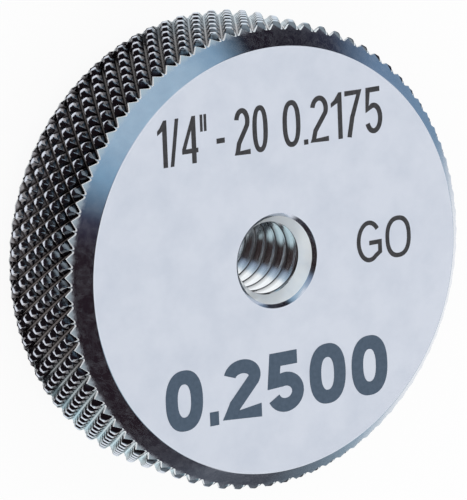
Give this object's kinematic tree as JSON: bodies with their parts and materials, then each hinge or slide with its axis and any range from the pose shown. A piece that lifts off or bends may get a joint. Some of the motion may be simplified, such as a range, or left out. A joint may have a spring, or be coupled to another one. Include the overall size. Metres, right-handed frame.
{
  "type": "thread ring gauge",
  "caption": "Knurled steel ring with a countersunk threaded bore, screwed onto a bolt by hand to check that its thread is in tolerance.",
  "frame": {"origin": "centre of the bore in the plane of the back face, which the ring lies on", "axes": "+Z along the bore and out of the marked face, +X along the lines of marking, left to right"},
  "size_m": [0.032, 0.032, 0.01],
  "materials": {
    "ground_steel": "satin ground faces, polished bevels, bright diamond knurl"
  },
  "bodies": {
    "root": {"gauge_ring": "ground_steel"}
  },
  "joints": []
}
